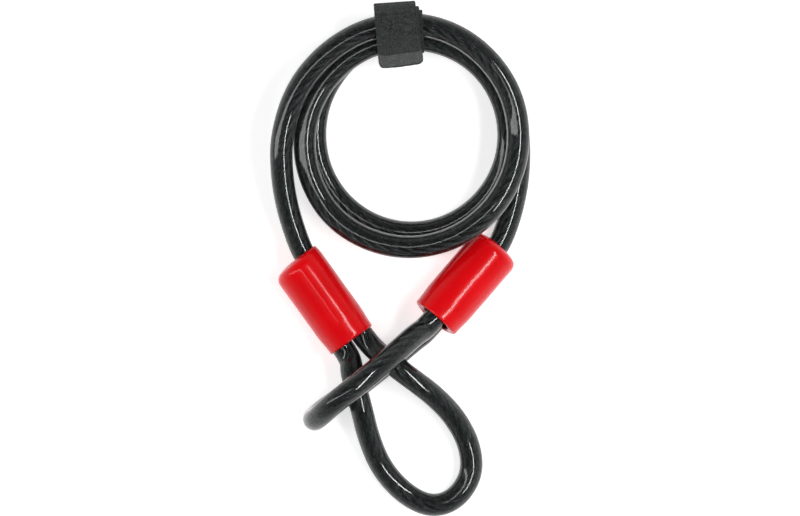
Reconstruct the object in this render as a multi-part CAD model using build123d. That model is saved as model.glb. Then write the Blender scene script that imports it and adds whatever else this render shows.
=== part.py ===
"""Double-loop steel security cable, wound into a coil and tied with a hook-and-loop strap.

One plastic-sheathed wire rope, with an eye loop at each end. Each eye is closed by a crimped
ferrule under a red moulded cover, and the two eyes are linked through each other.
Units are millimetres. The origin is the centre of the coil on the plane it lies on, +Z is up.
"""
import math
import os

from build123d import *

# ---------------------------------------------------------------- cable
CABLE_D = 11.0
ROPE_D = 7.0
FIT = 0.05
SHEATH_GAP = 0.1
CABLE_R = CABLE_D / 2
ROPE_R = ROPE_D / 2
ARC_SHARE = 0.45

# ---------------------------------------------------------------- coil, by eighths of a turn
# The coil runs clockwise from nine o'clock, on top of the stack, for two and a half turns.
STEPS_PER_TURN = 16
EIGHTHS = 8
TUBE_INSET = 0.982
COIL_RADII = (62.0, 56.4, 53.4, 51.3, 50.9, 52.1, 53.7, 54.3, 51.8, 48.4, 46.2,
              46.7, 46.6, 46.4, 46.7, 46.7, 46.8, 48.0, 52.1, 51.3, 51.0)
COIL_HEIGHTS = (20.9, 28.8, 31.1, 29.8, 28.8, 29.9, 22.6, 16.0, 16.4, 19.6, 21.5,
                19.2, 16.5, 11.0, 5.5, 5.5, 5.5, 8.2, 11.2, 8.2, 5.5)

# ---------------------------------------------------------------- end sleeves
COVER_LEN = 47.5
COVER_R = 12.8
COVER_MOUTH_R = 12.2
COVER_BORE_R = 11.3
COVER_WALL_END = 4.0
COVER_SHOULDER = 5.0
COVER_LIP = 0.8
BARREL_START = 12.0
FERRULE_START = 6.0
FERRULE_LEN = 30.0
FERRULE_THICK = 10.8
FERRULE_SIDE_WALL = 1.9
CRIMP_GROOVES = 3
CRIMP_WIDTH = 4.0
CRIMP_DEPTH = 0.5
ROPE_OFFSET = 5.65
GRIP_DEPTH = FERRULE_START + FERRULE_LEN
TAIL_STANDOUT = 2.0
PIVOT_OUT = 1.5
BALL_FIT = 0.05

LEFT_MOUTH = Vector(-29.0, -98.5, COVER_R)
LEFT_AXIS = Vector(0.584, -0.812, 0).normalized()
LEFT_SIDE = Vector(0.812, 0.584, 0).normalized()

RIGHT_TILT = math.radians(8)
RIGHT_ROLL = math.radians(6)
RIGHT_TOP = Vector(41.6, -52.7, COVER_R)
RIGHT_HEADING = Vector(-0.653, -0.757, 0).normalized()
RIGHT_ACROSS = Vector(-0.757, 0.653, 0).normalized()
RIGHT_AXIS = RIGHT_HEADING * math.cos(RIGHT_TILT) + Vector(0, 0, math.sin(RIGHT_TILT))
RIGHT_UP = Vector(0, 0, math.cos(RIGHT_TILT)) - RIGHT_HEADING * math.sin(RIGHT_TILT)
RIGHT_SIDE = RIGHT_UP * math.cos(RIGHT_ROLL) + RIGHT_ACROSS * math.sin(RIGHT_ROLL)
RIGHT_MOUTH = RIGHT_TOP + RIGHT_AXIS * COVER_LEN

# ---------------------------------------------------------------- free stretches of the cable
LEFT_EXIT = ((-48.6, -62.2, 12.8), (-52.6, -56.4, 12.9))
LEFT_LEAD = ((-56.4, -46.8, 14.2), (-60.2, -34.2, 16.6), (-62.8, -19.0, 19.3))
RIGHT_LEAD = ((51.6, -19.0, 5.5), (48.9, -33.6, 5.6), (45.6, -44.4, 5.8))
RIGHT_EXIT = ((42.0, -52.6, 6.8), (38.0, -57.6, 8.0))
LEFT_LOOP = ((-11.5, -108.5, 21.0), (-1.0, -116.5, 20.9), (10.5, -125.0, 17.0),
             (21.0, -136.0, 11.0), (28.0, -149.5, 6.8), (29.2, -163.5, 5.5),
             (21.3, -175.5, 5.5), (9.5, -179.4, 5.5), (-3.4, -173.2, 5.6),
             (-14.6, -161.0, 7.5), (-21.0, -145.7, 12.5), (-24.8, -129.5, 18.5),
             (-29.3, -114.4, 17.8))
RIGHT_LOOP = ((2.4, -97.6, 12.9), (-3.4, -102.4, 9.0), (-10.2, -108.4, 5.9),
              (-19.0, -115.4, 5.6), (-27.6, -122.1, 5.5), (-37.7, -128.6, 5.7),
              (-47.4, -136.0, 18.6), (-46.6, -137.0, 36.8), (-37.3, -128.0, 49.8),
              (-25.3, -118.9, 50.3), (-13.9, -109.4, 45.5), (-4.7, -101.3, 37.2),
              (2.0, -95.4, 30.4))
LOOP_LEAD_OUT = 6.0

# ---------------------------------------------------------------- strap
STRAP_W = 20.0
STRAP_TAPE = 1.2
STRAP_GAP = 0.05
STRAP_SLACK = 1.95
STRAP_SKEW = math.radians(4)
STRAP_X = -8.2
STRAP_SHIFTS = (3.2, 1.3, 0.0)
HOOK_THICK = 0.5
FLAP_ROOT_ANGLE = 35.0
FLAP_END_ANGLE = 186.0
BEYOND = 60.0


def between(values, place):
    """Straight-line value at a fractional place along a tuple."""
    low = min(int(place), len(values) - 2)
    return values[low] + (values[low + 1] - values[low]) * (place - low)


def coil_centre(eighth):
    """Centre of the cable at a place along the coil, counted in eighths of a turn."""
    angle = math.pi - eighth * 2 * math.pi / EIGHTHS
    radius = between(COIL_RADII, eighth)
    return Vector(radius * math.cos(angle), radius * math.sin(angle), between(COIL_HEIGHTS, eighth))


def coil_route():
    """Corner points of the coil, a little outside the tube that rounds them."""
    last = len(COIL_RADII) - 1
    stride = EIGHTHS / STEPS_PER_TURN
    points = []
    for step in range(int(last / stride) + 1):
        centre = coil_centre(step * stride)
        points.append(Vector(centre.X / TUBE_INSET, centre.Y / TUBE_INSET, centre.Z))
    return points


def halfway(a, b):
    return (a + b) * 0.5


def as_vectors(points):
    return [Vector(*point) for point in points]


class End:
    """Where one sleeve lies: mouth centre, axis towards the eye, and the side of the main rope."""

    def __init__(self, name, mouth, axis, main_side):
        self.name = name
        self.mouth = mouth
        self.axis = axis
        self.main_side = main_side

    def main(self, inward):
        """Centre of the through-going cable, a distance inside the mouth."""
        return self.mouth + self.main_side * ROPE_OFFSET - self.axis * inward

    def tail(self, inward):
        """Centre of the returning cable, a distance inside the mouth."""
        return self.mouth - self.main_side * ROPE_OFFSET - self.axis * inward

    def plane(self, inward):
        """Plane across the sleeve, looking along its axis, local X towards the main cable."""
        return Plane(origin=self.mouth - self.axis * inward, x_dir=self.main_side, z_dir=self.axis)


LEFT = End("left", LEFT_MOUTH, LEFT_AXIS, LEFT_SIDE)
RIGHT = End("right", RIGHT_MOUTH, RIGHT_AXIS, RIGHT_SIDE * -1)


def loop_route(end, points):
    """Route of an eye, from the main pivot round to the tail pivot."""
    start = [end.main(-PIVOT_OUT), end.main(-PIVOT_OUT - LOOP_LEAD_OUT)]
    finish = [end.tail(-PIVOT_OUT - LOOP_LEAD_OUT), end.tail(-PIVOT_OUT)]
    return start + as_vectors(points) + finish


def routes():
    """The corner points of every stretch of cable, by name."""
    coil = coil_route()
    left_lead = as_vectors(LEFT_LEAD)
    right_lead = as_vectors(RIGHT_LEAD)
    left_pivot = halfway(left_lead[0], left_lead[1])
    right_pivot = halfway(right_lead[-2], right_lead[-1])
    left_exit = [LEFT.main(GRIP_DEPTH)] + as_vectors(LEFT_EXIT)
    right_exit = as_vectors(RIGHT_EXIT) + [RIGHT.main(GRIP_DEPTH)]
    return {
        "coil": [left_pivot] + left_lead[1:] + coil + right_lead[:-1] + [right_pivot],
        "left_lead": left_exit + [left_lead[0], left_pivot],
        "right_lead": [right_pivot, right_lead[-1]] + right_exit,
        "left_loop": loop_route(LEFT, LEFT_LOOP),
        "right_loop": loop_route(RIGHT, RIGHT_LOOP),
    }


def corner_radii(points):
    """One arc radius for each corner of a route, as large as its two runs allow."""
    radii = []
    for before, corner, after in zip(points, points[1:], points[2:]):
        turn = math.radians((corner - before).get_angle(after - corner))
        shorter = min((corner - before).length, (after - corner).length)
        radii.append(ARC_SHARE * shorter / math.tan(turn / 2))
    return radii


def centreline(name, points):
    """Straight runs joined by tangent arcs, with the tightest radius and the length printed."""
    radii = corner_radii(points)
    line = FilletPolyline(*points, radius=radii)
    print(f"{name}: length {line.length:.1f}, radii " + ", ".join(f"{r:.0f}" for r in radii))
    return line


def along(line, section):
    """Sweep a section, drawn on XY, along a centreline."""
    start = Plane(origin=line @ 0, z_dir=line % 0)
    return sweep(start * section, path=line)


def sheath_on(line):
    return along(line, Circle(CABLE_R) - Circle(ROPE_R + SHEATH_GAP))


def rope_on(line):
    return along(line, Circle(ROPE_R))


def dome(pivot, inward):
    """Half ball that closes a cable end on a flex point, on the side away from the tube."""
    ball = Pos(pivot) * Sphere(CABLE_R)
    return split(ball, bisect_by=Plane(origin=pivot, z_dir=inward), keep=Keep.BOTTOM)


def cup(pivot):
    """Space that a domed cable end turns in."""
    return Pos(pivot) * Sphere(CABLE_R + BALL_FIT)


def straight(start, finish, section):
    """Prism of a section from one point to another."""
    run = finish - start
    return extrude(Plane(origin=start, z_dir=run) * section, amount=run.length)


def coil_pieces(route):
    line = centreline("coil", route)
    cups = cup(route[0]) + cup(route[-1])
    return {"coil_sheath": sheath_on(line) - cups, "coil_wire_rope": rope_on(line) - cups}


def lead_pieces(end, route, line, pivot_first):
    """Sheath and rope of the stretch between the coil and a ferrule."""
    if pivot_first:
        pivot, inward = route[0], route[1] - route[0]
    else:
        pivot, inward = route[-1], route[-2] - route[-1]
    gripped = extrude(end.plane(GRIP_DEPTH) * Circle(2 * CABLE_R), amount=FERRULE_LEN)
    sheath = sheath_on(line) + dome(pivot, inward) - gripped
    rope = rope_on(line)
    rope += straight(end.main(GRIP_DEPTH), end.main(-PIVOT_OUT), Circle(ROPE_R))
    rope -= cup(end.main(-PIVOT_OUT))
    return {f"{end.name}_lead_sheath": sheath, f"{end.name}_lead_wire_rope": rope}


def loop_pieces(end, route):
    """Sheath and rope of one eye, domed at both flex points."""
    line = centreline(f"{end.name}_loop", route)
    sheath = sheath_on(line)
    sheath += dome(route[0], route[1] - route[0])
    sheath += dome(route[-1], route[-2] - route[-1])
    return {f"{end.name}_loop_sheath": sheath, f"{end.name}_loop_wire_rope": rope_on(line)}


def root_sheath(end, place):
    """Short length of sheath from the ferrule to a flex point, hollowed for the domed end."""
    wall = CABLE_R - ROPE_R - SHEATH_GAP
    length = FERRULE_START + PIVOT_OUT
    section = Pos(CABLE_R - wall / 2, length / 2) * Rectangle(wall, length)
    section -= Pos(0, length) * Circle(CABLE_R + BALL_FIT)
    return Plane(origin=place(FERRULE_START), z_dir=end.axis) * revolve(Plane.XZ * section, Axis.Z)


def root_sheaths(end):
    return Compound(children=[root_sheath(end, end.main), root_sheath(end, end.tail)])


def tail_rope(end):
    """Returning rope, from the flex point through the ferrule to its cut end."""
    cut_end = end.tail(GRIP_DEPTH + TAIL_STANDOUT)
    return straight(cut_end, end.tail(-PIVOT_OUT), Circle(ROPE_R)) - cup(end.tail(-PIVOT_OUT))


def ferrule(end):
    """Pressed aluminium sleeve with two bores and three crimp bands."""
    width = 2 * (ROPE_OFFSET + ROPE_R + FERRULE_SIDE_WALL)
    outline = SlotOverall(width, FERRULE_THICK)
    bores = Locations((-ROPE_OFFSET, 0), (ROPE_OFFSET, 0)) * Circle(ROPE_R + FIT)
    body = extrude(end.plane(GRIP_DEPTH) * (outline - bores), amount=FERRULE_LEN)
    pitch = FERRULE_LEN / CRIMP_GROOVES
    pressed = SlotOverall(width - 2 * CRIMP_DEPTH, FERRULE_THICK - 2 * CRIMP_DEPTH)
    band = SlotOverall(width + 2 * CRIMP_DEPTH, FERRULE_THICK + 2 * CRIMP_DEPTH) - pressed
    for groove in range(CRIMP_GROOVES):
        inward = FERRULE_START + pitch * (groove + 0.5) + CRIMP_WIDTH / 2
        body -= extrude(end.plane(inward) * band, amount=CRIMP_WIDTH)
    return body


def cover(end, lead):
    """Moulded red cover: a barrel with a soft shoulder, open at the mouth, pierced by the lead."""
    with BuildSketch(Plane.XZ) as section:
        with BuildLine():
            Line((0, 0), (COVER_MOUTH_R - COVER_LIP, 0))
            RadiusArc((COVER_MOUTH_R - COVER_LIP, 0), (COVER_MOUTH_R, COVER_LIP), -COVER_LIP)
            Line((COVER_MOUTH_R, COVER_LIP), (COVER_R, BARREL_START))
            Line((COVER_R, BARREL_START), (COVER_R, COVER_LEN - COVER_SHOULDER))
            RadiusArc((COVER_R, COVER_LEN - COVER_SHOULDER),
                      (COVER_R - COVER_SHOULDER, COVER_LEN), -COVER_SHOULDER)
            Polyline((COVER_R - COVER_SHOULDER, COVER_LEN), (0, COVER_LEN), (0, 0))
        make_face()
    barrel = revolve(section.sketch, axis=Axis.Z)
    hollow = Cylinder(COVER_BORE_R, COVER_LEN - COVER_WALL_END,
                      align=(Align.CENTER, Align.CENTER, Align.MIN))
    place = Plane(origin=end.mouth, x_dir=end.main_side, z_dir=end.axis * -1)
    return place * (barrel - hollow) - along(lead, Circle(CABLE_R + FIT))


def end_pieces(end, lead):
    return {
        f"{end.name}_root_sheaths": root_sheaths(end),
        f"{end.name}_tail_rope": tail_rope(end),
        f"{end.name}_ferrule": ferrule(end),
        f"{end.name}_cover": cover(end, lead),
    }


def strand_centres():
    """The three cable sections under the strap, each as (height along the strap face, Z)."""
    angle_back = math.degrees(math.atan2(-STRAP_X, COIL_RADII[2]))
    centres = []
    for turn in range(len(STRAP_SHIFTS)):
        centre = coil_centre(2 + EIGHTHS * turn - angle_back * EIGHTHS / 360)
        centres.append((centre.Y, centre.Z))
    return centres


def strap_plane(middle):
    """Plane across the strap, local X up the strap's face and local Y along +Z."""
    across = Vector(math.cos(STRAP_SKEW), math.sin(STRAP_SKEW), 0)
    up = Vector(-math.sin(STRAP_SKEW), math.cos(STRAP_SKEW), 0)
    return Plane(origin=(STRAP_X, middle, 0), x_dir=up, z_dir=across)


def hull(centres, radius):
    circles = Sketch() + [Pos(x, y) * Circle(radius) for x, y in centres]
    return make_hull(circles.edges())


def ring(centres, inner, outer):
    return hull(centres, outer) - hull(centres, inner)


def behind_flap(centres, radius):
    """Half-plane behind the line from the flap's root to its free end."""
    front, low = centres[0], centres[1]
    root = (front[0] + radius * math.cos(math.radians(FLAP_ROOT_ANGLE)),
            front[1] + radius * math.sin(math.radians(FLAP_ROOT_ANGLE)))
    end = (low[0] + radius * math.cos(math.radians(FLAP_END_ANGLE)),
           low[1] + radius * math.sin(math.radians(FLAP_END_ANGLE)))
    slope = (root[1] - end[1]) / (root[0] - end[0])
    left = (end[0] - BEYOND, end[1] - slope * BEYOND)
    right = (root[0] + BEYOND, root[1] + slope * BEYOND)
    area = Polygon(left, right, (right[0], -BEYOND), (left[0], -BEYOND), align=None)
    return area, root


def strap_pieces():
    """Three turns of tape; the last one ends in a flap with a hook patch under it."""
    strands = strand_centres()
    middle = sum(y for y, z in strands) / len(strands)
    centres = [((y - middle) * math.cos(STRAP_SKEW), z) for y, z in strands]
    plane = strap_plane(middle)

    def band(section, shift):
        return extrude(plane.offset(shift - STRAP_W / 2) * section, amount=STRAP_W)

    pitch = STRAP_TAPE + STRAP_GAP
    starts = [CABLE_R + STRAP_SLACK + pitch * turn for turn in range(len(STRAP_SHIFTS))]
    outer_r = starts[2] + STRAP_TAPE
    back, root = behind_flap(centres, outer_r)
    last = ring(centres, starts[2], outer_r)
    hooks = ring(centres, starts[2], starts[2] + HOOK_THICK) - back
    face = ring(centres, starts[2] + HOOK_THICK, outer_r) - back
    pieces = {
        "strap_inner_turn": band(ring(centres, starts[0], starts[0] + STRAP_TAPE), STRAP_SHIFTS[0]),
        "strap_middle_turn": band(ring(centres, starts[1], starts[1] + STRAP_TAPE), STRAP_SHIFTS[1]),
        "strap_outer_turn": band(last & back, STRAP_SHIFTS[2]),
        "strap_flap": band(face, STRAP_SHIFTS[2]),
        "strap_flap_hooks": band(hooks, STRAP_SHIFTS[2]),
    }
    hinge = plane.from_local_coords((root[0], root[1], STRAP_SHIFTS[2]))
    print("flap hinge", hinge, "axis", plane.z_dir)
    return pieces


def build():
    lines = routes()
    pieces = coil_pieces(lines["coil"])
    for end, pivot_first in ((LEFT, False), (RIGHT, True)):
        route = lines[f"{end.name}_lead"]
        lead = centreline(f"{end.name}_lead", route)
        pieces.update(lead_pieces(end, route, lead, pivot_first))
        pieces.update(end_pieces(end, lead))
        pieces.update(loop_pieces(end, lines[f"{end.name}_loop"]))
        print(end.name, "mouth pivots", end.main(-PIVOT_OUT), end.tail(-PIVOT_OUT))
    print("lead pivots", lines["coil"][0], lines["coil"][-1])
    pieces.update(strap_pieces())
    return pieces


os.makedirs("parts", exist_ok=True)
for node, solid in build().items():
    export_step(solid, f"parts/{node}.step")
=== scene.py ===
"""Coiled steel security cable with two linked eyes and a hook-and-loop strap: its looks.

Metres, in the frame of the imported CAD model. Routes are written in millimetres, as the CAD has them.
"""

import math

import bpy
import numpy as np
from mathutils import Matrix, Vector


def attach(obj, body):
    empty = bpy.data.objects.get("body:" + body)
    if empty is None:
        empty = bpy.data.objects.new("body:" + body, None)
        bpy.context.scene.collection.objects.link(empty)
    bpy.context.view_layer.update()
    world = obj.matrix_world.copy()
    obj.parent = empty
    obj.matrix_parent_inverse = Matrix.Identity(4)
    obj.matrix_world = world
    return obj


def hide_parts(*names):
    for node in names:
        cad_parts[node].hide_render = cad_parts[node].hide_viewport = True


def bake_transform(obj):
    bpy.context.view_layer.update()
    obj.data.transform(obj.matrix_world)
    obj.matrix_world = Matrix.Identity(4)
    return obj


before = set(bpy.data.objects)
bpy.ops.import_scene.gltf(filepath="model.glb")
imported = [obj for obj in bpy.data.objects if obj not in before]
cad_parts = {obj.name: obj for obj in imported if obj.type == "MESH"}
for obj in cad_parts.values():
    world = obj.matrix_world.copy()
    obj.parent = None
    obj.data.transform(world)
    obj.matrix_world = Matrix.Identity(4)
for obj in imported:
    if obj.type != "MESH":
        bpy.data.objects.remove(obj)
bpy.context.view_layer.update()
MM = 0.001

# ---------------------------------------------------------------- camera
VIEW_WIDTH = 0.386
VIEW_CENTRE = (-0.0058, -0.0589)
VIEW_PLANE = 0.012
CAMERA_HEIGHT = 4.0


def make_camera():
    """Looks straight down on the lying cable, from far enough away to keep the two ends in scale."""
    data = bpy.data.cameras.new("camera")
    data.lens = data.sensor_width * (CAMERA_HEIGHT - VIEW_PLANE) / VIEW_WIDTH
    camera = bpy.data.objects.new("camera", data)
    camera.location = (*VIEW_CENTRE, CAMERA_HEIGHT)
    bpy.context.scene.collection.objects.link(camera)
    bpy.context.scene.camera = camera


make_camera()

# ---------------------------------------------------------------- cable, the same numbers as the CAD
CABLE_R = 5.5
STEPS_PER_TURN = 16
EIGHTHS = 8
TUBE_INSET = 0.982
COIL_RADII = (62.0, 56.4, 53.4, 51.3, 50.9, 52.1, 53.7, 54.3, 51.8, 48.4, 46.2,
              46.7, 46.6, 46.4, 46.7, 46.7, 46.8, 48.0, 52.1, 51.3, 51.0)
COIL_HEIGHTS = (20.9, 28.8, 31.1, 29.8, 28.8, 29.9, 22.6, 16.0, 16.4, 19.6, 21.5,
                19.2, 16.5, 11.0, 5.5, 5.5, 5.5, 8.2, 11.2, 8.2, 5.5)
LEFT_EXIT = ((-48.6, -62.2, 12.8), (-52.6, -56.4, 12.9))
LEFT_LEAD = ((-56.4, -46.8, 14.2), (-60.2, -34.2, 16.6), (-62.8, -19.0, 19.3))
RIGHT_LEAD = ((51.6, -19.0, 5.5), (48.9, -33.6, 5.6), (45.6, -44.4, 5.8))
RIGHT_EXIT = ((42.0, -52.6, 6.8), (38.0, -57.6, 8.0))
LEFT_LOOP = ((-11.5, -108.5, 21.0), (-1.0, -116.5, 20.9), (10.5, -125.0, 17.0),
             (21.0, -136.0, 11.0), (28.0, -149.5, 6.8), (29.2, -163.5, 5.5),
             (21.3, -175.5, 5.5), (9.5, -179.4, 5.5), (-3.4, -173.2, 5.6),
             (-14.6, -161.0, 7.5), (-21.0, -145.7, 12.5), (-24.8, -129.5, 18.5),
             (-29.3, -114.4, 17.8))
RIGHT_LOOP = ((2.4, -97.6, 12.9), (-3.4, -102.4, 9.0), (-10.2, -108.4, 5.9),
              (-19.0, -115.4, 5.6), (-27.6, -122.1, 5.5), (-37.7, -128.6, 5.7),
              (-47.4, -136.0, 18.6), (-46.6, -137.0, 36.8), (-37.3, -128.0, 49.8),
              (-25.3, -118.9, 50.3), (-13.9, -109.4, 45.5), (-4.7, -101.3, 37.2),
              (2.0, -95.4, 30.4))
COVER_LEN = 47.5
COVER_R = 12.8
ROPE_OFFSET = 5.65
LOOP_STRAIGHT = 7.5
GRIP_DEPTH = 36.0
TAIL_DEPTH = 38.0
SHEATH_DEPTH = 6.0
RIGHT_TILT = math.radians(8)
RIGHT_ROLL = math.radians(6)
SPLINE_STEPS = 12
LAY_LENGTH = 46.0
STRANDS = 6
STRAP_X = -8.2


class End:
    """One sleeve: mouth centre, axis towards the eye, and the side that the main cable lies on."""

    def __init__(self, name, mouth, axis, main_side):
        self.name = name
        self.mouth = mouth
        self.axis = axis
        self.main_side = main_side
        self.across = axis.cross(main_side)

    def main(self, inward):
        return self.mouth + self.main_side * ROPE_OFFSET - self.axis * inward

    def tail(self, inward):
        return self.mouth - self.main_side * ROPE_OFFSET - self.axis * inward


def left_end():
    axis = Vector((0.584, -0.812, 0)).normalized()
    side = Vector((0.812, 0.584, 0)).normalized()
    return End("left", Vector((-29.0, -98.5, COVER_R)), axis, side)


def right_end():
    heading = Vector((-0.653, -0.757, 0)).normalized()
    across = Vector((-0.757, 0.653, 0)).normalized()
    up = Vector((0, 0, 1))
    axis = heading * math.cos(RIGHT_TILT) + up * math.sin(RIGHT_TILT)
    raised = up * math.cos(RIGHT_TILT) - heading * math.sin(RIGHT_TILT)
    side = raised * math.cos(RIGHT_ROLL) + across * math.sin(RIGHT_ROLL)
    return End("right", Vector((41.6, -52.7, COVER_R)) + axis * COVER_LEN, axis, side * -1)


LEFT = left_end()
RIGHT = right_end()


def between(values, place):
    low = min(int(place), len(values) - 2)
    return values[low] + (values[low + 1] - values[low]) * (place - low)


def coil_points():
    last = len(COIL_RADII) - 1
    stride = EIGHTHS / STEPS_PER_TURN
    points = []
    for step in range(int(last / stride) + 1):
        angle = math.pi - step * stride * 2 * math.pi / EIGHTHS
        radius = between(COIL_RADII, step * stride) / TUBE_INSET
        height = between(COIL_HEIGHTS, step * stride)
        points.append(Vector((radius * math.cos(angle), radius * math.sin(angle), height)))
    return points


def as_vectors(points):
    return [Vector(point) for point in points]


def main_route():
    """From the left ferrule, round the coil, to the right ferrule."""
    left = [LEFT.main(GRIP_DEPTH)] + as_vectors(LEFT_EXIT + LEFT_LEAD)
    right = as_vectors(RIGHT_LEAD + RIGHT_EXIT) + [RIGHT.main(GRIP_DEPTH)]
    return left + coil_points() + right


def eye_route(end, points):
    """From a ferrule, round the eye, back into the same ferrule."""
    start = [end.main(GRIP_DEPTH), end.main(SHEATH_DEPTH), end.main(-LOOP_STRAIGHT)]
    finish = [end.tail(-LOOP_STRAIGHT), end.tail(SHEATH_DEPTH), end.tail(TAIL_DEPTH)]
    return start + as_vectors(points) + finish


class Path:
    """A smooth line with its running length and a frame that doesn't twist, in metres."""

    def __init__(self, points, lengths, normals, binormals):
        self.points = points
        self.lengths = lengths
        self.normals = normals
        self.binormals = binormals

    def cut(self, first, last):
        keep = slice(first, last)
        return Path(self.points[keep], self.lengths[keep], self.normals[keep], self.binormals[keep])

    def index_at(self, length):
        return int(np.argmin(np.abs(self.lengths - length)))

    def centre_at(self, origin, direction, distance, reach):
        """Where the line crosses a plane at a distance along an axis, within reach of it, in mm."""
        offsets = self.points / MM - np.array(origin)
        depths = offsets @ np.array(direction)
        aside = np.linalg.norm(offsets - depths[:, None] * np.array(direction)[None, :], axis=1)
        step = int(np.argmin(np.where(aside < reach, np.abs(depths - distance), np.inf)))
        low, high = max(step - 1, 0), min(step + 1, len(depths) - 1)
        share = (distance - depths[low]) / (depths[high] - depths[low])
        return Vector((self.points[low] + (self.points[high] - self.points[low]) * share) / MM)

    @property
    def length(self):
        return float(self.lengths[-1] - self.lengths[0])


def route_path(name, route):
    """The NURBS spline through a route, read back as the points of its line."""
    curve = bpy.data.curves.new(name, "CURVE")
    curve.dimensions = "3D"
    spline = curve.splines.new("NURBS")
    spline.points.add(len(route) - 1)
    for point, corner in zip(spline.points, route):
        point.co = (*(corner * MM), 1)
    spline.order_u = 3
    spline.use_endpoint_u = True
    spline.resolution_u = SPLINE_STEPS
    carrier = bpy.data.objects.new(name, curve)
    bpy.context.scene.collection.objects.link(carrier)
    mesh = bpy.data.meshes.new_from_object(carrier)
    points = np.array([v.co for v in mesh.vertices], float)
    bpy.data.objects.remove(carrier)
    bpy.data.curves.remove(curve)
    bpy.data.meshes.remove(mesh)
    return with_frames(points)


def with_frames(points):
    runs = np.linalg.norm(np.diff(points, axis=0), axis=1)
    lengths = np.concatenate(([0.0], np.cumsum(runs)))
    tangents = np.gradient(points, axis=0)
    tangents /= np.linalg.norm(tangents, axis=1)[:, None]
    normal = np.array((0.0, 0.0, 1.0))
    normals = np.zeros_like(points)
    for step, tangent in enumerate(tangents):
        normal = normal - tangent * (normal @ tangent)
        normal /= np.linalg.norm(normal)
        normals[step] = normal
    return Path(points, lengths, normals, np.cross(tangents, normals))


# ---------------------------------------------------------------- meshes


def link(name, mesh, material):
    piece = bpy.data.objects.new(name, mesh)
    bpy.context.scene.collection.objects.link(piece)
    mesh.materials.append(material)
    for face in mesh.polygons:
        face.use_smooth = True
    return piece


def skin_of(rings, closed_ends, uv_around, uv_along):
    """Mesh of quads over rings of points (ring, point, xyz), with its running coordinates as UVs.

    uv_around has one value for each point of a ring, and one more for the way back to the first.
    """
    count, sides = rings.shape[:2]
    corners = rings.reshape(-1, 3)
    step = np.arange(count - 1)[:, None] * sides
    here = np.arange(sides)[None, :]
    after = (here + 1) % sides
    quads = np.stack([step + here, step + after, step + sides + after, step + sides + here], axis=-1)
    quads = quads.reshape(-1, 4)
    faces = [tuple(int(i) for i in quad) for quad in quads]
    if closed_ends:
        faces.append(tuple(range(sides - 1, -1, -1)))
        faces.append(tuple(range((count - 1) * sides, count * sides)))
    mesh = bpy.data.meshes.new("skin")
    mesh.from_pydata([tuple(c) for c in corners], [], faces)
    u = np.stack([uv_around[:-1], uv_around[1:], uv_around[1:], uv_around[:-1]], axis=-1)
    u = np.broadcast_to(u[None], (count - 1, sides, 4)).reshape(-1)
    v = np.stack([uv_along[:-1], uv_along[:-1], uv_along[1:], uv_along[1:]], axis=-1)
    v = np.broadcast_to(v[:, None], (count - 1, sides, 4)).reshape(-1)
    layer = mesh.uv_layers.new(name="running")
    values = np.zeros(len(layer.data) * 2)
    values[0:2 * len(u):2] = u
    values[1:2 * len(v):2] = v
    layer.data.foreach_set("uv", values)
    mesh.validate()
    return mesh


def joined(name, meshes):
    """Several skins as one mesh."""
    parts = [bpy.data.objects.new(name, mesh) for mesh in meshes]
    for part in parts:
        bpy.context.scene.collection.objects.link(part)
    with bpy.context.temp_override(active_object=parts[0], selected_editable_objects=parts):
        bpy.ops.object.join()
    mesh = parts[0].data
    bpy.data.objects.remove(parts[0])
    return mesh


def turns_round(sides):
    """Share of a turn at each point of a ring, with the closing 1."""
    return np.arange(sides + 1) / sides


TUBE_SIDES = 40
STRAND_SIDES = 12
STRAND_R = 1.17
STRAND_RING_R = 2.3
CORE_R = 2.9


def tube_mesh(path, radius, sides):
    turn = np.arange(sides) * 2 * math.pi / sides
    around = (np.cos(turn)[None, :, None] * path.normals[:, None, :]
              + np.sin(turn)[None, :, None] * path.binormals[:, None, :])
    rings = path.points[:, None, :] + around * radius * MM
    return skin_of(rings, True, turns_round(sides), path.lengths)


def strand_mesh(path, which):
    """One strand of the rope, laid round the core."""
    angle = which * 2 * math.pi / STRANDS + path.lengths / (LAY_LENGTH * MM) * 2 * math.pi
    offset = (np.cos(angle)[:, None] * path.normals + np.sin(angle)[:, None] * path.binormals)
    centres = path.points + offset * STRAND_RING_R * MM
    line = with_frames(centres)
    turn = np.arange(STRAND_SIDES) * 2 * math.pi / STRAND_SIDES
    around = (np.cos(turn)[None, :, None] * line.normals[:, None, :]
              + np.sin(turn)[None, :, None] * line.binormals[:, None, :])
    rings = line.points[:, None, :] + around * STRAND_R * MM
    return skin_of(rings, True, turns_round(STRAND_SIDES), path.lengths)


def rope_mesh(path):
    strands = [strand_mesh(path, which) for which in range(STRANDS)]
    return joined("rope", strands + [tube_mesh(path, CORE_R, STRAND_SIDES)])


# ---------------------------------------------------------------- materials


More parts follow.
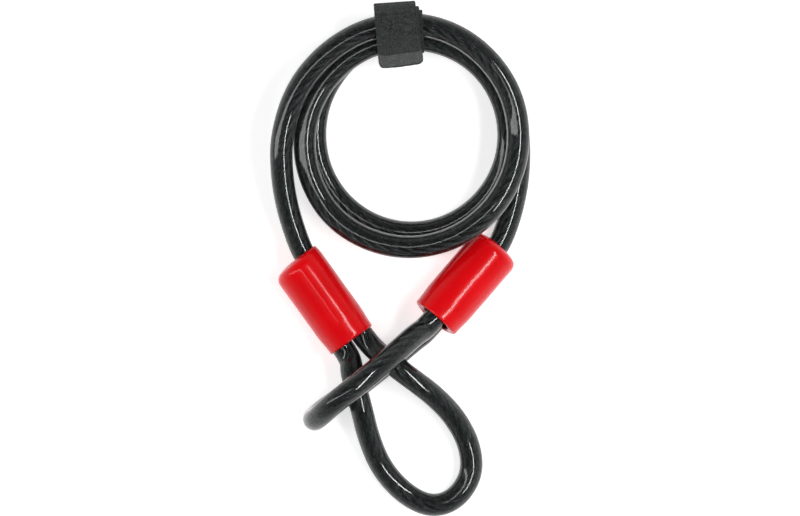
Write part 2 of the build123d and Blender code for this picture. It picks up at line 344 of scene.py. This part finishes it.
class Nodes:
    """Short hand for a node tree."""

    def __init__(self, name):
        self.material = bpy.data.materials.new(name)
        self.material.use_nodes = True
        self.tree = self.material.node_tree
        self.shader = self.tree.nodes["Principled BSDF"]

    def add(self, kind, **values):
        node = self.tree.nodes.new(kind)
        for key, value in values.items():
            if key in node.inputs:
                node.inputs[key].default_value = value
            else:
                setattr(node, key, value)
        return node

    def wire(self, source, target):
        self.tree.links.new(source, target)

    def set(self, **values):
        for key, value in values.items():
            self.shader.inputs[key.replace("_", " ")].default_value = value

    def math(self, operation, a, b):
        node = self.add("ShaderNodeMath", operation=operation)
        for socket, value in zip(node.inputs, (a, b)):
            if isinstance(value, (int, float)):
                socket.default_value = value
            else:
                self.wire(value, socket)
        return node.outputs[0]

    def running(self):
        """The UV coordinates: turns round the piece, and metres along it."""
        split = self.add("ShaderNodeSeparateXYZ")
        self.wire(self.add("ShaderNodeUVMap", uv_map="running").outputs[0], split.inputs[0])
        return split.outputs[0], split.outputs[1]

    def noise(self, scale, detail=3.0, roughness=0.5):
        node = self.add("ShaderNodeTexNoise", Scale=scale, Detail=detail, Roughness=roughness)
        self.wire(self.add("ShaderNodeTexCoord").outputs["Object"], node.inputs["Vector"])
        return node.outputs["Fac"]

    def ramp(self, value, stops):
        node = self.add("ShaderNodeValToRGB")
        node.color_ramp.elements[0].position = stops[0][0]
        node.color_ramp.elements[0].color = (*stops[0][1], 1)
        node.color_ramp.elements[1].position = stops[-1][0]
        node.color_ramp.elements[1].color = (*stops[-1][1], 1)
        for place, colour in stops[1:-1]:
            node.color_ramp.elements.new(place).color = (*colour, 1)
        self.wire(value, node.inputs[0])
        return node.outputs[0]

    def spread(self, value, low, high):
        node = self.add("ShaderNodeMapRange")
        node.inputs["To Min"].default_value = low
        node.inputs["To Max"].default_value = high
        self.wire(value, node.inputs["Value"])
        return node.outputs[0]

    def bump(self, height, distance, strength=1.0):
        node = self.add("ShaderNodeBump", Distance=distance, Strength=strength)
        self.wire(height, node.inputs["Height"])
        self.wire(node.outputs[0], self.shader.inputs["Normal"])


def sheath_material():
    """Smoked clear PVC: glossy, with faint handling marks, and it lets lamps through to the rope."""
    kit = Nodes("smoked_sheath")
    kit.set(Base_Color=(0.056, 0.064, 0.063, 1), Transmission_Weight=1.0, IOR=1.47)
    kit.wire(kit.spread(kit.noise(90.0), 0.03, 0.07), kit.shader.inputs["Roughness"])
    kit.bump(kit.noise(120.0, 1.0), 0.00003, 0.1)
    clear = kit.add("ShaderNodeBsdfTransparent")
    clear.inputs[0].default_value = (0.22, 0.24, 0.24, 1)
    mix = kit.add("ShaderNodeMixShader")
    kit.wire(kit.add("ShaderNodeLightPath").outputs["Is Shadow Ray"], mix.inputs[0])
    kit.wire(kit.shader.outputs[0], mix.inputs[1])
    kit.wire(clear.outputs[0], mix.inputs[2])
    kit.wire(mix.outputs[0], kit.tree.nodes["Material Output"].inputs[0])
    return kit.material


WIRE_TWIST = 21.0
WIRES_ROUND = 22.0
WIRE_FLECKS = 330.0


def wire_material():
    """Bright steel strands: fine wires wound round each strand, with dull and oily patches."""
    kit = Nodes("laid_wire")
    kit.set(Metallic=1.0)
    around, along = kit.running()
    place = kit.add("ShaderNodeCombineXYZ")
    sideways = kit.math("ADD", around, kit.math("MULTIPLY", along, WIRE_TWIST))
    kit.wire(kit.math("MULTIPLY", sideways, WIRES_ROUND), place.inputs[0])
    kit.wire(kit.math("MULTIPLY", along, WIRE_FLECKS), place.inputs[1])
    flecks = kit.add("ShaderNodeTexNoise", Scale=1.0, Detail=2.0, Roughness=0.6)
    kit.wire(place.outputs[0], flecks.inputs["Vector"])
    wires = flecks.outputs["Fac"]
    kit.wire(kit.ramp(wires, ((0.34, (0.18, 0.19, 0.19)), (0.54, (0.30, 0.31, 0.31)),
                              (0.72, (0.66, 0.68, 0.68)))), kit.shader.inputs["Base Color"])
    kit.wire(kit.spread(kit.noise(240.0), 0.3, 0.5), kit.shader.inputs["Roughness"])
    kit.bump(wires, 0.0003, 0.8)
    return kit.material


def aluminium_material():
    kit = Nodes("pressed_aluminium")
    kit.set(Metallic=1.0)
    mottle = kit.noise(300.0, 5.0)
    kit.wire(kit.ramp(mottle, ((0.3, (0.45, 0.46, 0.47)), (0.7, (0.66, 0.67, 0.68)))),
             kit.shader.inputs["Base Color"])
    kit.wire(kit.spread(mottle, 0.28, 0.55), kit.shader.inputs["Roughness"])
    kit.bump(kit.noise(900.0), 0.0001, 0.4)
    return kit.material


def cover_material():
    """Soft glossy red PVC: slight flow marks, a little light carried under the surface."""
    kit = Nodes("red_cover")
    kit.set(Subsurface_Weight=0.12, Subsurface_Scale=0.002, Coat_Weight=0.4, Coat_Roughness=0.1,
            Coat_IOR=1.4, Coat_Tint=(0.72, 0.42, 0.55, 1), Specular_IOR_Level=0.15)
    kit.wire(kit.ramp(kit.noise(55.0), ((0.3, (0.79, 0.002, 0.005)), (0.7, (0.88, 0.003, 0.007)))),
             kit.shader.inputs["Base Color"])
    kit.wire(kit.spread(kit.noise(130.0, 4.0), 0.18, 0.28), kit.shader.inputs["Roughness"])
    kit.bump(kit.noise(200.0, 2.0), 0.0001, 0.06)
    return kit.material


YARN_WAVE = 2 * math.pi / 0.0011


def tape_material(name, dark, light):
    """Nylon tape: crossed yarns and fluff."""
    kit = Nodes(name)
    kit.set(Sheen_Weight=0.06, Sheen_Roughness=0.5, Specular_IOR_Level=0.2)
    across, along = kit.running()
    warp = kit.math("SINE", kit.math("MULTIPLY", across, YARN_WAVE), 0.0)
    weft = kit.math("SINE", kit.math("MULTIPLY", along, YARN_WAVE), 0.0)
    weave = kit.math("ADD", kit.math("MULTIPLY", kit.math("MULTIPLY", warp, weft), 0.07),
                     kit.math("MULTIPLY", kit.math("ADD", warp, weft), 0.03))
    fluff = kit.math("ADD", kit.math("MULTIPLY", kit.noise(1100.0, 4.0, 0.7), 0.8),
                     kit.math("MULTIPLY", kit.noise(330.0, 2.0), 0.2))
    mixed = kit.math("ADD", weave, fluff)
    kit.wire(kit.ramp(mixed, ((0.36, dark), (0.64, light))), kit.shader.inputs["Base Color"])
    kit.wire(kit.spread(fluff, 0.7, 0.95), kit.shader.inputs["Roughness"])
    kit.bump(mixed, 0.0006, 0.8)
    return kit.material


def floor_material():
    kit = Nodes("pale_floor")
    kit.wire(kit.ramp(kit.noise(3.0), ((0.35, (0.86, 0.86, 0.86)), (0.65, (0.90, 0.90, 0.90)))),
             kit.shader.inputs["Base Color"])
    kit.wire(kit.spread(kit.noise(20.0), 0.7, 0.85), kit.shader.inputs["Roughness"])
    kit.set(Specular_IOR_Level=0.1, Emission_Color=(1, 1, 1, 1), Emission_Strength=0.6)
    return kit.material


SHEATH = sheath_material()
WIRE = wire_material()
ALUMINIUM = aluminium_material()
RED = cover_material()
TAPE = tape_material("loop_tape", (0.005, 0.006, 0.006), (0.056, 0.062, 0.060))
HOOKS = tape_material("hook_tape", (0.014, 0.016, 0.016), (0.05, 0.054, 0.054))
TAB = tape_material("tab_tape", (0.045, 0.050, 0.049), (0.130, 0.139, 0.136))


def cable_piece(name, path, rope_path, replaced, place):
    """A sheath over its rope; place is applied to both."""
    sheath = link(f"{name}_sheath", tube_mesh(path, CABLE_R, TUBE_SIDES), SHEATH)
    rope = link(f"{name}_rope", rope_mesh(rope_path), WIRE)
    for piece in (sheath, rope):
        place(piece)
    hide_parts(*[node for node in replaced if "sheath" in node])
    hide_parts(*[node for node in replaced if "sheath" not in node])
    return sheath, rope


def make_main_cable():
    """The whole cable in three pieces that meet under the strap, where the seams don't show."""
    path = MAIN_PATH
    under_strap = [i for i in range(1, len(path.points) - 1) if crosses_strap(path.points, i)]
    first, last = under_strap[0], under_strap[-1]
    left = path.cut(0, first + 1)
    coil = path.cut(first, last + 1)
    right = path.cut(last, len(path.points))

    def on_left(piece):
        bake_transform(piece)

    def on_right(piece):
        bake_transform(piece)

    def on_coil(piece):
        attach(piece, "coil")

    pair = cable_piece("left_lead", left, left, ("left_lead_sheath", "left_lead_wire_rope"), on_left)
    pair = cable_piece("coil", coil, coil, ("coil_sheath", "coil_wire_rope"), on_coil)
    pair = cable_piece("right_lead", right, right, ("right_lead_sheath", "right_lead_wire_rope"),
                       on_right)


def crosses_strap(points, i):
    """True where the cable passes the strap's middle line, at the top of the coil."""
    return points[i][1] > 0 and points[i][0] <= STRAP_X * MM < points[i + 1][0]


def make_eye(end, points):
    name = end.name
    path = route_path(f"{name}_eye", eye_route(end, points))
    inset = GRIP_DEPTH - SHEATH_DEPTH, TAIL_DEPTH - SHEATH_DEPTH
    first = path.index_at(inset[0] * MM)
    last = path.index_at(path.lengths[-1] - inset[1] * MM)
    bare = path.cut(first, last + 1)

    def on_eye(piece):
        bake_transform(piece)

    replaced = (f"{name}_loop_sheath", f"{name}_root_sheaths", f"{name}_loop_wire_rope",
                f"{name}_tail_rope")
    pair = cable_piece(f"{name}_eye", bare, path, replaced, on_eye)
    end.main(0)


MAIN_PATH = route_path("main", main_route())
make_main_cable()
make_eye(LEFT, LEFT_LOOP)
make_eye(RIGHT, RIGHT_LOOP)

# ---------------------------------------------------------------- covers and ferrules
COVER_SIDES = 120
MOUTH_R = 12.2
BORE_R = 11.3
BARREL_START = 12.0
SHOULDER = 4.8
SHOULDER_SHARE = 0.4
DOME = 1.2
DOME_START = 75
LIP_DEPTH = 1.3
MOUTH_FLAT = 4.2
RIPPLES = ((0.02, 2, 0.21), (0.012, 3, -0.37))
WALL_END = 4.0
HOLE_R = CABLE_R + 0.05
HOLE_EDGE = 0.7
SEAM_HEIGHT = 0.07
SEAM_WIDTH = 0.035


def arc(centre, radius, first, last, steps):
    """Points (along, radius) of an arc in a profile, angles in degrees from the radial direction."""
    angles = np.radians(np.linspace(first, last, steps))
    return [(centre[0] + radius * math.sin(a), centre[1] + radius * math.cos(a)) for a in angles]


def cover_profile():
    """(along from the mouth, radius, how far the ring has moved from the axis to the cable).

    The shoulder closes on the cable, which comes out beside the axis.
    """
    lip = (MOUTH_R - BORE_R) / 2
    profile = [(LIP_DEPTH * (1 + math.sin(a)), BORE_R + lip * (1 + math.cos(a)), 0)
               for a in np.radians(np.linspace(-180, 0, 13))]
    for share in np.linspace(0.08, 1, 10):
        swell = share * share * (3 - 2 * share)
        profile.append((LIP_DEPTH + (BARREL_START - LIP_DEPTH) * share,
                        MOUTH_R + (COVER_R - MOUTH_R) * swell, 0))
    for along in np.linspace(BARREL_START + 2, COVER_LEN - DOME - SHOULDER - 0.5, 14):
        profile.append((along, COVER_R, 0))
    rim = HOLE_R + HOLE_EDGE
    for angle in np.radians(np.linspace(0, DOME_START, 16)):
        moved = SHOULDER_SHARE * (1 - math.cos(angle))
        profile.append((COVER_LEN - DOME - SHOULDER * (1 - math.sin(angle)),
                        COVER_R + (rim - COVER_R) * moved, moved))
    corner, first = profile[-1][0], profile[-1][2]
    for share in np.linspace(0.1, 0.98, 12):
        moved = first + (1 - first) * share
        profile.append((corner + (COVER_LEN - corner) * (1 - (1 - share) ** 2),
                        COVER_R + (rim - COVER_R) * moved, moved))
    profile += [(a, 2 * rim - r, 1) for a, r in
                arc((COVER_LEN - HOLE_EDGE, rim), HOLE_EDGE, 80, 0, 5)]
    profile.append((COVER_LEN - WALL_END, HOLE_R, 1))
    for share in np.linspace(0.2, 1, 5):
        profile.append((COVER_LEN - WALL_END, HOLE_R + (BORE_R - HOLE_R) * share, 1 - share))
    profile.append((COVER_LEN / 2, BORE_R, 0))
    profile.append((LIP_DEPTH + 3, BORE_R, 0))
    profile.append((LIP_DEPTH, BORE_R, 0))
    return profile


def cover_mesh(end):
    """Lathed moulding whose end hole follows the cable, with mould seams and slight unevenness."""
    turn = np.arange(COVER_SIDES) * 2 * math.pi / COVER_SIDES
    seam = SEAM_HEIGHT * np.exp(-(np.cos(turn) / SEAM_WIDTH) ** 2)
    rings, along = [], []
    for place, radius, moved in cover_profile():
        inside = (1 - moved) * np.clip((MOUTH_R - radius) / (MOUTH_R - BORE_R), 0, 1)
        ripple = sum(height * np.sin(waves * turn + place * rate) for height, waves, rate in RIPPLES)
        flat = MOUTH_FLAT * np.sin(turn) ** 2 * (place <= LIP_DEPTH)
        reach = radius + (ripple + seam) * (1 - moved) * (1 - inside) - flat * inside
        axis_point = end.mouth - end.axis * place
        cable = MAIN_PATH.centre_at(end.mouth, end.axis * -1, place, COVER_R) if moved else axis_point
        centre = axis_point + (cable - axis_point) * moved
        rings.append(np.array(centre)[None, :]
                     + (np.cos(turn) * reach)[:, None] * np.array(end.main_side)[None, :]
                     + (np.sin(turn) * reach)[:, None] * np.array(end.across)[None, :])
        along.append(place)
    return skin_of(np.array(rings) * MM, False, turns_round(COVER_SIDES), np.array(along) * MM)


def make_cover(end):
    piece = link(f"{end.name}_cover_moulding", cover_mesh(end), RED)
    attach(piece, f"{end.name}_sleeve_body")
    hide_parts(f"{end.name}_cover")


def paint(node, material):
    """Gives a CAD node that stays in view its finished material."""
    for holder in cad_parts[node].material_slots:
        holder.material = material


for end in (LEFT, RIGHT):
    make_cover(end)
    paint(f"{end.name}_ferrule", ALUMINIUM)

# ---------------------------------------------------------------- strap
STRAP_W = 20.0
STRAP_SKEW = math.radians(4)
STRAP_LAYERS = 3
STRAP_SHIFTS = (3.8, 2.1, 0.6)
TAPE_THICK = 1.2
WRAP_R = 6.2
WRAP_GROWTH = 1.5
WRAP_END_R = 10.4
FLAP_END_R = 10.5
FLAP_ROOT = 745.0
FLAP_END = 872.0
TAB_STRAIGHT = 6.75
WRAP_START = 25.0
FACE_THICK = 0.75
HOOK_THICK = 0.45
TAB_LENGTH = 11.5
TAB_RIM = 2.0
TAB_CORNERS = (3.8, 2.4)
TAB_SLANT = 0.165
TAB_CORNER_STRETCH = 1.9
TAB_WIDER = 0.08
TAB_SHIFT = 1.3
TAB_REACH = 30.0
TAPE_STEP = 0.8
TAPE_COLUMNS = 41
TURN_STEP = 1.5
CRIMP_HEIGHT = 0.05
EDGE_WAVER = 0.08
HOOK_START = 4.0


def strand_centres():
    """The three cable sections under the strap, each as (up the strap's face, height)."""
    points = MAIN_PATH.points
    sections = [points[i] / MM for i in range(len(points) - 1) if crosses_strap(points, i)]
    middle = sum(section[1] for section in sections) / len(sections)
    centres = [((section[1] - middle) * math.cos(STRAP_SKEW), section[2]) for section in sections]
    return middle, np.array(centres)


def wound(centres, first, last, inner, outer, straight=0.0):
    """Line of a tape wound round the strands, evenly stepped, each point (up the face, height).

    Its last stretch can leave the strands and run straight.
    """
    corners = []
    for angle in np.arange(first, last + TURN_STEP / 3, TURN_STEP):
        facing = np.array((math.cos(math.radians(angle)), math.sin(math.radians(angle))))
        radius = inner + (outer - inner) * ((angle - first) / (last - first)) ** WRAP_GROWTH
        corners.append(centres[np.argmax(centres @ facing)] + facing * radius)
    if straight:
        way = corners[-1] - corners[-2]
        corners.append(corners[-1] + way * straight / np.linalg.norm(way))
    corners = np.array(corners)
    lengths = np.concatenate(([0.0], np.cumsum(np.linalg.norm(np.diff(corners, axis=0), axis=1))))
    places = np.linspace(0, lengths[-1], int(lengths[-1] / TAPE_STEP) + 1)
    return places, np.stack([np.interp(places, lengths, corners[:, k]) for k in (0, 1)], axis=1)


def tape_rows(half, thick):
    """Round the tape's section: (across, out from its middle), upper row first, then back below."""
    edge = thick / 2
    inner = np.linspace(-half + edge, half - edge, TAPE_COLUMNS)
    bend = np.radians((-67.5, -45, -22.5))
    lead = [(-half + edge + edge * math.sin(a), edge * math.cos(a)) for a in bend]
    upper = lead + [(x, edge) for x in inner] + [(-x, y) for x, y in reversed(lead)]
    return np.array(upper + [(-x, -y) for x, y in upper])


def tape_mesh(places, line, shifts, thick, raised=0.0, span=None, tab=False):
    """Woven tape that follows a line; tab rounds and slants its last end."""
    middle, plane_up, plane_across = STRAP_FRAME
    span = span or (0.0, places[-1])
    rows = tape_rows(STRAP_W / 2, thick)
    steps = np.arange(span[0], span[1] + 1e-6, TAPE_STEP)
    end = span[1]
    rings = []
    for step in steps:
        across = rows[:, 0]
        reach = np.full(len(rows), step)
        flare = 0
        if tab:
            past = np.clip((step - (end - TAB_REACH)) / TAB_REACH, 0, 1)
            flare = np.clip(step / end, 0, 1) * (TAB_WIDER * across + TAB_SHIFT)
            corner = np.where(across < 0, *TAB_CORNERS)
            into = np.clip(np.abs(across) - (STRAP_W / 2 - corner), 0, corner)
            rounding = corner - np.sqrt(np.maximum(corner ** 2 - into ** 2, 0))
            reach = reach - past * (rounding * TAB_CORNER_STRETCH + TAB_SLANT * across)
        reach = np.clip(reach, 0, places[-1])
        point = np.stack([np.interp(reach, places, line[:, k]) for k in (0, 1)], axis=1)
        ahead = np.stack([np.interp(reach + 0.5, places, line[:, k]) for k in (0, 1)], axis=1)
        behind = np.stack([np.interp(reach - 0.5, places, line[:, k]) for k in (0, 1)], axis=1)
        along = ahead - behind
        along /= np.maximum(np.linalg.norm(along, axis=1), 1e-9)[:, None]
        outward = np.stack([along[:, 1], -along[:, 0]], axis=1)
        crimp = CRIMP_HEIGHT * np.sin(reach * 2.9) * np.cos(across * 2.1)
        spot = point + outward * (rows[:, 1] + raised + crimp)[:, None]
        waver = EDGE_WAVER * np.sin(reach * 1.7)
        sideways = across + flare + np.interp(reach, places, shifts) + waver
        rings.append(np.array((STRAP_X, middle, 0))[None, :]
                     + spot[:, :1] * plane_up[None, :]
                     + spot[:, 1:] * np.array((0, 0, 1))[None, :]
                     + sideways[:, None] * plane_across[None, :])
    values = np.concatenate((rows[:, 0], rows[:1, 0])) * MM
    return skin_of(np.array(rings) * MM, True, values, steps * MM)


def make_strap():
    """One tape wound twice round the coil, then a flap that is pressed down on it."""
    centres = STRAP_CENTRES
    places, line = wound(centres, WRAP_START, FLAP_ROOT, WRAP_R, WRAP_END_R)
    share = places / places[-1] * (STRAP_LAYERS - 1)
    shifts = np.interp(share, range(STRAP_LAYERS), STRAP_SHIFTS)
    wrap = link("strap_turns", tape_mesh(places, line, shifts, TAPE_THICK), TAPE)
    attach(wrap, "coil")
    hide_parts("strap_inner_turn", "strap_middle_turn", "strap_outer_turn")
    places, line = wound(centres, FLAP_ROOT, FLAP_END, WRAP_END_R, FLAP_END_R, TAB_STRAIGHT)
    straight = np.full_like(places, STRAP_SHIFTS[-1])
    join = places[-1] - TAB_LENGTH
    face = tape_mesh(places, line, straight, FACE_THICK, (TAPE_THICK - FACE_THICK) / 2, None, True)
    hooks = tape_mesh(places, line, straight, HOOK_THICK, -(TAPE_THICK - HOOK_THICK) / 2,
                      (HOOK_START, places[-1]), True)
    for name, mesh, material, slot, node in (
            ("strap_flap_face", face, TAPE, "strap_tape", "strap_flap"),
            ("strap_flap_hook_patch", hooks, HOOKS, "strap_hooks", "strap_flap_hooks")):
        piece = link(name, mesh, material)
        if name == "strap_flap_face":
            mesh.materials.append(TAB)
            running = mesh.uv_layers["running"].data
            for polygon in mesh.polygons:
                if join * MM < running[polygon.loop_start].uv[1] < (places[-1] - TAB_RIM) * MM:
                    polygon.material_index = 1
        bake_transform(piece)
        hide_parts(node)


STRAP_MIDDLE, STRAP_CENTRES = strand_centres()
STRAP_FRAME = (STRAP_MIDDLE, np.array((-math.sin(STRAP_SKEW), math.cos(STRAP_SKEW), 0)),
               np.array((math.cos(STRAP_SKEW), math.sin(STRAP_SKEW), 0)))
make_strap()

# ---------------------------------------------------------------- stage and light
FLOOR_HALF = 3.0


def make_floor():
    mesh = bpy.data.meshes.new("floor")
    h = FLOOR_HALF
    mesh.from_pydata([(-h, -h, 0), (h, -h, 0), (h, h, 0), (-h, h, 0)], [], [(0, 1, 2, 3)])
    floor = bpy.data.objects.new("floor", mesh)
    bpy.context.scene.collection.objects.link(floor)
    mesh.materials.append(floor_material())


def softbox(name, tilt, towards, distance, size, power):
    """Area light, tilt degrees off the vertical in a compass direction, aimed at the cable."""
    data = bpy.data.lights.new(name, "AREA")
    data.shape = "RECTANGLE"
    data.size, data.size_y = size
    data.energy = power
    lamp = bpy.data.objects.new(name, data)
    side = math.sin(math.radians(tilt)) * distance
    way = math.radians(towards)
    target = Vector((*VIEW_CENTRE, 0))
    lamp.location = target + Vector((side * math.cos(way), side * math.sin(way),
                                     math.cos(math.radians(tilt)) * distance))
    lamp.rotation_euler = (target - lamp.location).to_track_quat("-Z", "Y").to_euler()
    bpy.context.scene.collection.objects.link(lamp)


def make_world():
    world = bpy.data.worlds.new("studio")
    bpy.context.scene.world = world
    world.use_nodes = True
    tree = world.node_tree
    split = tree.nodes.new("ShaderNodeSeparateXYZ")
    tree.links.new(tree.nodes.new("ShaderNodeTexCoord").outputs["Generated"], split.inputs[0])
    ramp = tree.nodes.new("ShaderNodeValToRGB")
    ramp.color_ramp.elements[0].color = (1, 1, 1, 1)
    ramp.color_ramp.elements[1].color = (0.12, 0.12, 0.12, 1)
    ramp.color_ramp.elements[0].position = 0.1
    ramp.color_ramp.elements[1].position = 0.75
    tree.links.new(split.outputs[2], ramp.inputs[0])
    tree.links.new(ramp.outputs[0], tree.nodes["Background"].inputs[0])
    tree.nodes["Background"].inputs[1].default_value = 0.8


make_floor()
make_world()
softbox("left_softbox", 36, 182, 1.2, (0.18, 1.7), 4.6)
softbox("right_strip", 26, -4, 1.25, (0.95, 0.15), 9.5)
bpy.context.scene.view_settings.view_transform = "Standard"
